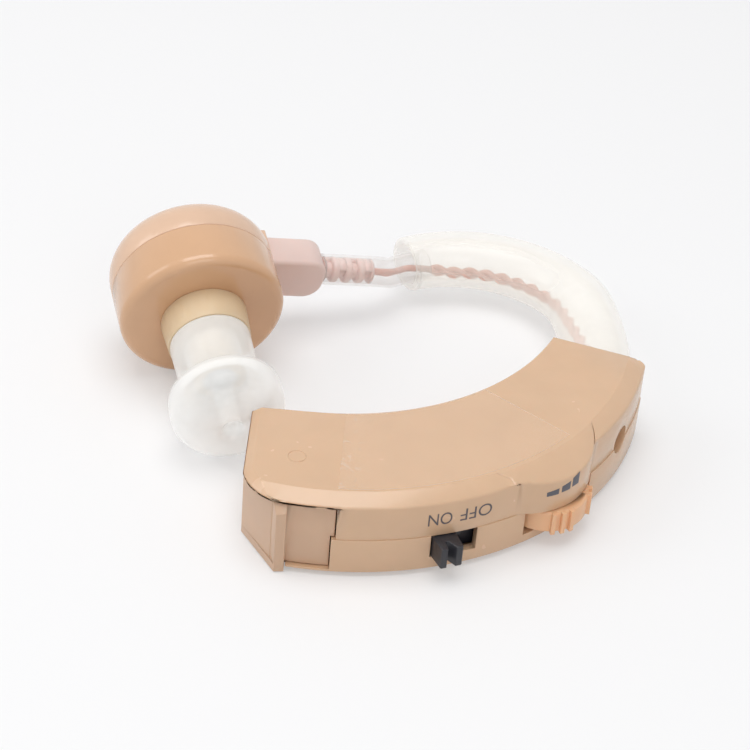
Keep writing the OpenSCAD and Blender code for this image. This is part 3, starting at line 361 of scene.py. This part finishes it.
# A clear film covers the middle of the upper side, stuck down flat. Its edge, and a few wrinkles
# and scratches near one end, are drawn as whiter, less clear film: a painted highlight for the light they
# catch.
wrinkles_full = -9.0 * mm
wrinkles_gone = -6.0 * mm
# The film glows faintly in warm white. This is painted light: the film is no lamp.
film_clear, place, shader = finish("film_clear", paint(250, 238, 224), 0.22,
                                   Emission_Strength=0.08, Emission_Color=(1, 0.9, 0.78, 1))
creases = place.noise(900, 5, Distortion=1.5)
wrinkle_highlight_mask = place.node("ShaderNodeValToRGB", {"stops": [(0.56, 0), (0.66, 1)]}, {0: creases})
along_body = place.node("ShaderNodeSeparateXYZ", {}, {0: place})
near_end = place.node("ShaderNodeMapRange", {"clamp": True},
                      {0: along_body, 1: wrinkles_full, 2: wrinkles_gone, 3: 1.0, 4: 0.0})
facing = place.node("ShaderNodeNewGeometry", {}, {}, "Normal")
upward = place.node("ShaderNodeSeparateXYZ", {}, {0: facing}, 2)
# Where the film is less clear its whitish colour shows, so the edge and wrinkle shares are painted
# highlights.
flat_alpha = 0.06
wrinkle_highlight_alpha = 0.2
edge_highlight_alpha = 0.4
feed(shader, "Alpha", flat_alpha + wrinkle_highlight_alpha * (wrinkle_highlight_mask * near_end) + edge_highlight_alpha * (1 - upward * upward))
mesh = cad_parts["clear_film"].data.copy()
work = bmesh.new()
work.from_mesh(mesh)
underside = [face for face in work.faces if face.normal.z < -0.5]
bmesh.ops.delete(work, geom=underside, context="FACES")
work.to_mesh(mesh)
work.free()
add_piece("film_sheet", mesh, film_clear, replaces="clear_film")

# The hook is a soft clear vinyl hose, milky where it is thick, drawn over a nozzle in the body's
# narrow end. Its bore tapers with it to a rounded open mouth. Its sizes are in millimetres:
# each arc has a radius, a sweep in degrees and the number of the hose's rows on it.
end_centre = Vector((15.686, 18.481, 4.45))
end_heading = 73.8
hook_turn = 86.3
hook_arcs = [(38.0, 19.0, 4), (8.6, 27.0, 7), (13.8, 78.4, 16)]
hook_rows = sum(rows for radius, sweep, rows in hook_arcs)
hook_base_r = 3.6
hook_mouth_r = 2.95
hook_wall = 0.75
hook_settle = 4
full_turn = 2 * math.pi


def heading_way(degrees):
    """The flat direction of a heading."""
    return Vector((math.cos(math.radians(degrees)), math.sin(math.radians(degrees)), 0))


def hook_at(share):
    """Centre, heading in degrees and the distance along, at a share of the hook's rows."""
    at = share * hook_rows
    x, y, z = end_centre
    heading = hook_turn
    gone = 0.0
    for radius, sweep, rows in hook_arcs:
        part = min(at, rows) / rows * sweep
        first = math.radians(heading)
        final = math.radians(heading + part)
        x += radius * (math.sin(final) - math.sin(first))
        y -= radius * (math.cos(final) - math.cos(first))
        heading += part
        gone += radius * math.radians(part)
        at -= rows
        if at <= 0:
            break
    return Vector((x, y, z)), heading, gone


def loft(name, rings, closed_ends=False):
    """A smooth skin over rings that all have the same number of points, in millimetres."""
    sides = len(rings[0])
    points = [point * mm for ring in rings for point in ring]
    faces = []
    for k in range(len(rings) - 1):
        here = k * sides
        ahead = here + sides
        for s in range(sides):
            beside = (s + 1) % sides
            faces.append((here + s, here + beside, ahead + beside, ahead + s))
    if closed_ends:
        faces.append(tuple(range(sides))[::-1])
        faces.append(tuple((len(rings) - 1) * sides + s for s in range(sides)))
    mesh = bpy.data.meshes.new(name)
    mesh.from_pydata(points, [], faces)
    work = bmesh.new()
    work.from_mesh(mesh)
    bmesh.ops.recalc_face_normals(work, faces=work.faces)
    work.to_mesh(mesh)
    work.free()
    mesh.shade_smooth()
    return mesh


def circle_at(centre, ahead, radius, sides):
    """The points of a circle that faces ahead."""
    ahead = ahead.normalized()
    side = Vector((0, 0, 1)).cross(ahead).normalized()
    up = ahead.cross(side)
    turns = [full_turn * s / sides for s in range(sides)]
    return [centre + radius * (math.cos(turn) * side + math.sin(turn) * up) for turn in turns]


def hook_ring(share, less, shift=0.0):
    """A ring of the hose at a share of its rows, smaller by less and moved ahead by shift.
    The first rings are square to the nozzle and turn into the bend as the hose settles."""
    centre, heading, gone = hook_at(share)
    heading = end_heading + (heading - end_heading) * min(1, gone / hook_settle)
    ahead = heading_way(heading)
    radius = hook_base_r + (hook_mouth_r - hook_base_r) * share - less
    return circle_at(centre + shift * ahead, ahead, radius, 48)


def clear(name, colour, roughness, alpha, rim_blend, haze_scale, haze_detail=3, uneven=None, **fixed):
    """Soft clear plastic. Its alpha has three shares: everywhere, at its rim, and in its haze.
    Uneven is the least roughness, where the haze also changes the gloss."""
    made, place, shader = finish(name, colour, roughness, **fixed)
    haze = place.noise(haze_scale, haze_detail)
    rim = place.node("ShaderNodeLayerWeight", {}, {"Blend": rim_blend}, 1)
    everywhere, at_rim, in_haze = alpha
    feed(shader, "Alpha", everywhere + at_rim * rim + in_haze * haze)
    if uneven:
        feed(shader, "Roughness", uneven + 0.12 * haze)
    return made


hose_steps = 72
lip_steps = 8
lip_r = hook_wall / 2
outside = [hook_ring(k / hose_steps, 0) for k in range(hose_steps)]
lip = []
for k in range(lip_steps + 1):
    turn = math.pi * k / lip_steps
    lip.append(hook_ring(1, lip_r * (1 - math.cos(turn)), lip_r * (math.sin(turn) - 1)))
inside = [hook_ring(1 - k / hose_steps, hook_wall) for k in range(1, hose_steps + 1)]
# The hose glows faintly white. This is painted light that keeps it as white as the table; the hose is no
# lamp.
hook_vinyl = clear("hook_vinyl", paint(248, 245, 238), 0.2, alpha=(0.17, 0.4, 0.08), rim_blend=0.35,
                   haze_scale=220, uneven=0.16, Coat_Weight=0.3, Coat_Roughness=0.12,
                   Emission_Strength=0.1, Emission_Color=(1, 0.99, 0.96, 1))
hose = loft("hook", outside + lip + inside + [outside[0]])
add_piece("hook_hose", hose, hook_vinyl, replaces="ear_hook")
dress("hook_nozzle", moulded("nozzle_white", paint(232, 226, 216), roughness=0.35))

# The lead is two pink strands, twisted together where they run through the hook, and side by
# side in the clear sleeve that joins the hook's mouth to the plug. The sleeve is soft tubing.
receiver_centre = Vector((-25.0005, 19.2961, 8.2433))
receiver_ahead = Vector((0.302614, -0.931349, -0.202518))
plug_ahead = Vector((0.919487, 0.341213, -0.195237))
plug_drop = -7.5
plug_far = 14.7
relief_length = 5.8
plug_bite = 1.5
lead_side = 1.7
lead_sink = 0.6
nozzle_rows = 4
mouth_rows = 6
mouth_share = 0.3
bridge_pull = 3.2
nozzle_out = 1.2
nozzle_in = 1.9
strand_r = 0.35
strand_set = 0.31
lay = 3.6
first_turn = math.radians(-37)
untwisted = 2.5
plug_tip = receiver_centre + plug_drop * receiver_ahead + plug_far * plug_ahead
relief_middle = plug_tip + relief_length / 2 * plug_ahead
relief_end = plug_tip + relief_length * plug_ahead


def lead_in_hook(at):
    """Where the lead lies at a row of the hook: sunk to the bend's inner side, but not at the ends."""
    centre, heading, gone = hook_at(at / hook_rows)
    share = min(1, at / nozzle_rows, mouth_share + (hook_rows - at) / mouth_rows)
    aside = lead_side * share
    turn = math.radians(heading)
    return centre + Vector((-aside * math.sin(turn), aside * math.cos(turn), -lead_sink * share))


mouth = lead_in_hook(hook_rows)
mouth_ahead = -heading_way(hook_at(1)[1])


def bridge(t):
    """The free span's curve from the strain relief's end to the hook's mouth."""
    pulls = (relief_end, relief_end + bridge_pull * plug_ahead, mouth - bridge_pull * mouth_ahead, mouth)
    shares = ((1 - t) ** 3, 3 * t * (1 - t) ** 2, 3 * t * t * (1 - t), t ** 3)
    return sum((share * pull for share, pull in zip(shares, pulls)), Vector((0, 0, 0)))


def smooth_way(points, step):
    """Evenly spaced points along a soft curve through the given ones."""
    parts = 12
    fine = []
    for k in range(len(points) - 1):
        before = points[max(0, k - 1)]
        after = points[min(len(points) - 1, k + 2)]
        first = points[k]
        final = points[k + 1]
        for part in range(parts):
            t = part / parts
            bend = 2 * before - 5 * first + 4 * final - after
            swing = 3 * first - before - 3 * final + after
            fine.append(0.5 * (2 * first + (final - before) * t + bend * t * t + swing * t ** 3))
    fine.append(points[-1])
    even = [fine[0]]
    gone = 0.0
    for first, final in zip(fine, fine[1:]):
        gap = (final - first).length
        while gap > 0 and gone + gap >= step * len(even):
            even.append(first.lerp(final, (step * len(even) - gone) / gap))
        gone += gap
    return even


nozzle_way = heading_way(end_heading)
lead_way = [plug_tip - plug_bite * plug_ahead, plug_tip, relief_middle]
lead_way += [bridge(k / 6) for k in range(7)]
lead_way += [lead_in_hook(hook_rows - 1.5 * k) for k in range(1, 16)]
lead_way += [lead_in_hook(2), end_centre + nozzle_out * nozzle_way, end_centre - nozzle_in * nozzle_way]
step = 0.2
way = smooth_way(lead_way, step)
mouth_gone = step * min(range(len(way)), key=lambda k: (way[k] - mouth).length)
lead_pink = moulded("lead_pink", paint(220, 172, 158), roughness=0.35, **depth(0.2, 1.0, 0.6, 0.5))
for strand in range(2):
    rings = []
    for k in range(1, len(way) - 1):
        ahead = (way[k + 1] - way[k - 1]).normalized()
        side = Vector((0, 0, 1)).cross(ahead).normalized()
        up = ahead.cross(side)
        twist = max(0, k * step - mouth_gone - untwisted)
        turn = first_turn + math.pi * strand + full_turn * twist / lay
        centre = way[k] + strand_set * (math.cos(turn) * side + math.sin(turn) * up)
        rings.append(circle_at(centre, ahead, strand_r, 12))
    strand_mesh = loft("strand", rings, closed_ends=True)
    add_piece("lead_strand_%d" % (strand + 1), strand_mesh, lead_pink, replaces="receiver_lead")

sleeve_run = 2.4
sleeve_outer = 1.65
sleeve_inner = 1.38
sleeve_gap = 0.03
sleeve_points = [plug_tip + sleeve_gap * plug_ahead, relief_middle]
sleeve_points += [bridge(k / 4) for k in range(5)]
sleeve_points += [mouth + sleeve_run * mouth_ahead]
sleeve_way = smooth_way(sleeve_points, 0.5)


def tube_rings(points, radius):
    """Rings of one radius along a way."""
    rings = []
    for k, point in enumerate(points):
        ahead = points[min(len(points) - 1, k + 1)] - points[max(0, k - 1)]
        rings.append(circle_at(point, ahead, radius, 40))
    return rings


outer_rings = tube_rings(sleeve_way, sleeve_outer)
inner_rings = tube_rings(sleeve_way, sleeve_inner)
sleeve_clear = clear("sleeve_clear", paint(248, 246, 244), 0.1, alpha=(0.06, 0.4, 0.05), rim_blend=0.25,
                     haze_scale=300, haze_detail=2, Coat_Weight=0.5, Coat_Roughness=0.05)
sleeve_mesh = loft("sleeve", outer_rings + inner_rings[::-1] + [outer_rings[0]])
add_piece("sleeve_tube", sleeve_mesh, sleeve_clear, replaces="lead_sleeve")

# The plug is moulded in pink plastic round two pins. Its strain relief has rings on a thin
# tube, joined by webs a quarter turn apart, so that it bends either way.
plug_pink = moulded("plug_pink", paint(227, 202, 194), roughness=0.34, **depth(0.2, 1.2, 0.6, 0.5))
eased("plug_body", plug_pink, 0.45 * mm, soft=0.5)
relief_pink = moulded("relief_pink", paint(236, 208, 200), roughness=0.36, **depth(0.25, 1.0, 0.6, 0.5))
eased("strain_relief", relief_pink, 0.1 * mm, soft=0.5)
webs = 4
web_inner = 0.7
web_outer = 1.29
web_steps = 12
web_span = math.radians(140)
web_middles = (math.radians(200), math.radians(110))
web_ends = (0.12, 0.88)
pitch = relief_length / webs
plug_side = receiver_ahead.cross(plug_ahead).normalized()
for number in range(webs):
    near, far = [plug_tip + (number + end) * pitch * plug_ahead for end in web_ends]
    rings = []
    for a in range(web_steps + 1):
        turn = web_middles[number % 2] + web_span * (a / web_steps - 0.5)
        out = math.cos(turn) * receiver_ahead + math.sin(turn) * plug_side
        rings.append([near + web_inner * out, near + web_outer * out,
                      far + web_outer * out, far + web_inner * out])
    web = loft("web", rings, closed_ends=True)
    add_piece("relief_web_%d" % (number + 1), web, relief_pink)

# The receiver is a round capsule of two glossy caps, tan in front and pinker behind, with the
# magnet, pole, coil and diaphragm inside it. A cream nozzle is pressed into the front.
cap_tan = moulded("cap_tan", paint(212, 168, 130), roughness=0.2,
                  Coat_Weight=0.3, Coat_Roughness=0.06)
eased("receiver_front_cap", cap_tan, 0.12 * mm, body="receiver", soft=0.2)
cap_pinkish = moulded("cap_pinkish", paint(222, 186, 158), roughness=0.2,
                      Coat_Weight=0.3, Coat_Roughness=0.06)
eased("receiver_back_cap", cap_pinkish, 0.12 * mm, body="receiver", soft=0.2)
dress("receiver_magnet", screw_steel)
dress("receiver_pole", screw_steel)
dress("receiver_coil", moulded("coil_copper", paint(180, 104, 60), roughness=0.35, Metallic=0.9))
dress("diaphragm_ring", moulded("ring_card", paint(196, 176, 138), roughness=0.7))
dress("diaphragm", screw_steel)
nozzle_cream = moulded("nozzle_cream", paint(216, 192, 158), roughness=0.42, **depth(0.25, 1.0, 0.8, 0.5))
eased("receiver_nozzle", nozzle_cream, 0.1 * mm, body="receiver", soft=0.4)

# The ear tip is clear soft silicone in one piece: a stem pushed on the nozzle's stub, and a
# round dome whose rim folds back over the stem to seal the ear canal. Its profile gives the
# radius and the distance ahead of the receiver's centre, in millimetres.
tip_profile = [
    (2.83, 3.83), (4.12, 3.83), (4.15, 4.1), (4.05, 7.0), (3.95, 9.2), (4.0, 10.2),
    (4.35, 10.75), (4.9, 11.0), (5.2, 10.9), (5.3, 10.45), (5.55, 10.5), (5.72, 11.3),
    (5.75, 12.3), (5.72, 12.9), (5.6, 13.5), (5.2, 14.3), (4.5, 15.0), (3.5, 15.42),
    (2.2, 15.5), (1.35, 15.46), (1.05, 15.2), (1.0, 14.6), (1.0, 9.3), (2.83, 9.2),
]
rings = []
for radius, out in tip_profile + tip_profile[:1]:
    rings.append(circle_at(receiver_centre + out * receiver_ahead, receiver_ahead, radius, 72))
# The silicone glows faintly white. This is painted light that keeps it as white as the table; the tip is no
# lamp.
tip_silicone = clear("tip_silicone", paint(250, 250, 248), 0.22, alpha=(0.33, 0.4, 0.1), rim_blend=0.3,
                     haze_scale=260, uneven=0.18, Coat_Weight=0.2, Coat_Roughness=0.15,
                     Emission_Strength=0.1, Emission_Color=(1, 1, 1, 1))
add_piece("tip_dome", loft("tip", rings), tip_silicone, body="receiver", replaces="ear_tip")

# The table is a plain white board. It glows a little to the camera, and in what shines or lets
# light through, so that it stays white away from the lamps.
half = 2.0
table_glow = 0.3
board = bpy.data.meshes.new("table_top")
corners = [(-half, -half, 0), (half, -half, 0), (half, half, 0), (-half, half, 0)]
board.from_pydata(corners, [], [(0, 1, 2, 3)])
table_top = bpy.data.objects.new("table_top", board)
bpy.context.scene.collection.objects.link(table_top)
table_white, place, shader = finish("table_white", (0.87, 0.87, 0.88), 0.6)


def seen_rays(wire):
    """One where a ray comes from the camera, a mirrored ray or a ray through clear plastic."""
    first, second, third = [wire.node("ShaderNodeLightPath", {}, {}, kind)
                            for kind in ("Is Camera Ray", "Is Glossy Ray", "Is Transmission Ray")]
    return first + second + third


white = place.node("ShaderNodeEmission", {}, {"Color": (1, 1, 1, 1), "Strength": 1.0})
lit = Wire(place.tree, shader.outputs["BSDF"])
both = place.node("ShaderNodeMixShader", {}, {0: table_glow * seen_rays(place), 1: lit, 2: white})
place.tree.links.new(both.socket, place.tree.nodes["Material Output"].inputs["Surface"])
board.materials.append(table_white)


# Three soft lamps hang over the table, the largest straight above, and a pale room fills the
# shadows. The room shows whiter than it lights.
def lamp(name, place, aim, size, power):
    """A square soft lamp that faces a point."""
    light = bpy.data.lights.new(name, "AREA")
    light.size = size
    light.energy = power
    made = bpy.data.objects.new(name, light)
    made.location = place
    made.rotation_euler = (Vector(aim) - Vector(place)).to_track_quat("-Z", "Y").to_euler()
    bpy.context.scene.collection.objects.link(made)


lamp("lamp_over", (-0.03, 0.0, 0.45), aim=(0, 0.01, 0), size=0.30, power=0.95)
lamp("lamp_left", (-0.34, -0.02, 0.26), aim=(0, 0.01, 0), size=0.22, power=0.3)
lamp("lamp_front", (0.12, -0.36, 0.30), aim=(0, 0, 0), size=0.25, power=0.25)

room_light = 0.5
room_shown = 0.48
world = bpy.data.worlds.new("studio")
bpy.context.scene.world = world
world.use_nodes = True
sky = world.node_tree.nodes["Background"]
sky.inputs["Color"].default_value = (1, 1, 1, 1)
feed(sky, "Strength", room_light + room_shown * seen_rays(Wire(world.node_tree, None)))

# The camera looks down at the photograph's angle and leans a little. Its long lens was worked
# out in the photograph's pixels.
elevation = math.radians(37)
lean = 0.085
distance = 0.252
focal_pixels = 2400
picture_pixels = 750
aim = Vector((-7.0, 22.6, 0)) * mm
ahead = Vector((0, math.cos(elevation), -math.sin(elevation)))
over = Vector((0, math.sin(elevation), math.cos(elevation)))
across = Vector((1, 0, 0))
picture_right = math.cos(lean) * across + math.sin(lean) * over
picture_up = -math.sin(lean) * across + math.cos(lean) * over
lens = bpy.data.cameras.new("camera")
lens.sensor_width = 36
lens.lens = focal_pixels / picture_pixels * lens.sensor_width
camera = bpy.data.objects.new("camera", lens)
camera.matrix_world = Matrix.Translation(aim - distance * ahead) @ Matrix((
    (picture_right.x, picture_up.x, -ahead.x, 0),
    (picture_right.y, picture_up.y, -ahead.y, 0),
    (picture_right.z, picture_up.z, -ahead.z, 0),
    (0, 0, 0, 1),
))
bpy.context.scene.collection.objects.link(camera)
bpy.context.scene.camera = camera
bpy.context.scene.view_settings.view_transform = "Standard"
